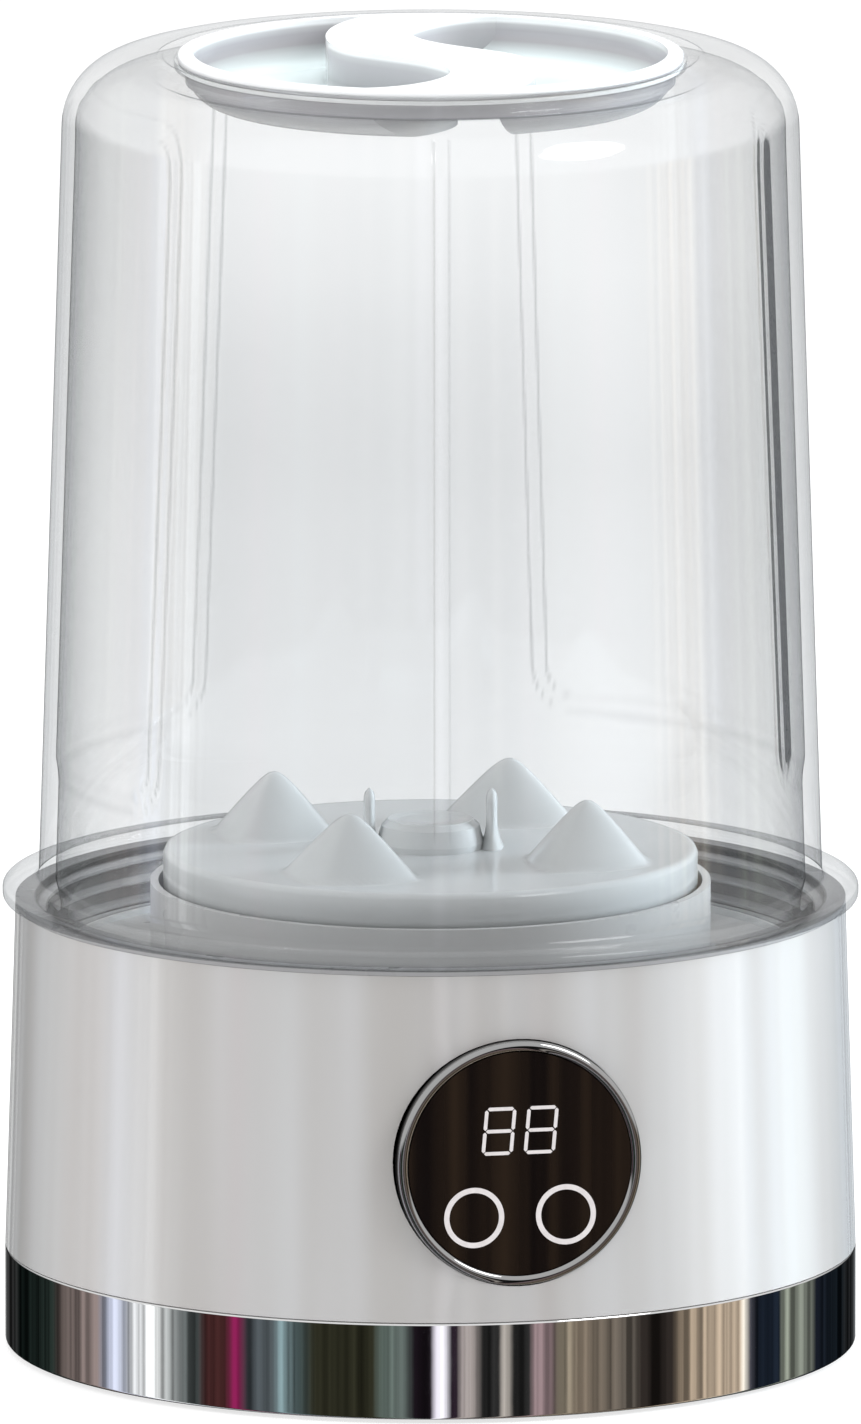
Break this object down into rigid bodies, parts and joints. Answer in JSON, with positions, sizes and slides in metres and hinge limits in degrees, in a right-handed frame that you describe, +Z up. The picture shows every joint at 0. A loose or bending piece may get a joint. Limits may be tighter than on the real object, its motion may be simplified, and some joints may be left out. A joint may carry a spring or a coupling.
{
  "type": "portable mini washer",
  "caption": "Portable mini washer: a white round base with a chrome foot band and a round touch panel, a clear domed jar over a finned pulsator, and a white lid with an S-shaped handle.",
  "frame": {"origin": "centre of the feet's contact plane, on the washer's upright axis", "axes": "+Z up along the upright axis, -Y towards the control panel, +X to the right of someone facing the panel"},
  "size_m": [0.1708, 0.1708, 0.2607],
  "materials": {
    "shell_white": "gloss",
    "deck_grey": "satin",
    "chrome": "mirror",
    "clear": "gloss",
    "black_window": "gloss",
    "lit_white": "matte",
    "silicone": "matte",
    "black_rubber": "matte",
    "inner_plastic": "matte",
    "gear_plastic": "satin",
    "board_green": "satin",
    "board_black": "satin",
    "steel": "satin",
    "bronze": "satin",
    "magnet": "matte",
    "wire": "satin"
  },
  "bodies": {
    "base": {"base_shell": "shell_white", "deck": "deck_grey", "chrome_band": "chrome", "panel_bezel": "chrome", "panel_lens": "black_window", "display_digits": "lit_white", "touch_rings": "lit_white", "jar_gasket": "silicone", "shaft_seal": "silicone", "rubber_feet": "black_rubber", "touch_pads": "black_rubber", "bottom_plate": "inner_plastic", "motor_end_cap": "inner_plastic", "power_socket": "inner_plastic", "power_socket_nut": "inner_plastic", "gearbox_housing": "gear_plastic", "gearbox_cover": "gear_plastic", "control_board": "board_green", "display_board": "board_green", "board_parts": "board_black", "motor_can": "steel", "base_screws": "steel", "gearbox_screws": "steel", "motor_screws": "steel", "board_screws": "steel", "panel_screws": "steel", "power_pin": "steel", "upper_bush": "bronze", "lower_bush": "bronze", "motor_bushes": "bronze", "motor_tabs": "bronze", "motor_magnets": "magnet", "motor_leads": "wire", "power_leads": "wire"},
    "pulsator_set": {"pulsator": "deck_grey", "pulsator_cap": "deck_grey", "drive_shaft": "steel", "drive_gear": "gear_plastic", "shaft_washers": "steel", "shaft_clip": "steel"},
    "motor_rotor": {"motor_shaft": "steel", "rotor_core": "steel", "rotor_windings": "bronze", "commutator": "bronze", "pinion": "steel"},
    "jar_set": {"jar": "clear"},
    "lid_set": {"lid": "shell_white", "lid_gasket": "silicone"}
  },
  "joints": [
    {"name": "pulsator_spin", "type": "hinge", "parent": "base", "child": "pulsator_set", "pos_m": [0, 0, 0.0975], "axis": [0, 0, 1], "continuous": true},
    {"name": "motor_spin", "type": "hinge", "parent": "base", "child": "motor_rotor", "pos_m": [0, 0.036, 0.03], "axis": [0, 0, 1], "continuous": true},
    {"name": "jar_lift", "type": "slide", "parent": "base", "child": "jar_set", "axis": [0, 0, 1], "range_m": [0, 0.04]},
    {"name": "lid_lift", "type": "slide", "parent": "jar_set", "child": "lid_set", "axis": [0, 0, 1], "range_m": [0, 0.03]}
  ],
  "couplings": [
    {"joint": "motor_spin", "follows": "pulsator_spin", "ratio": -5}
  ]
}
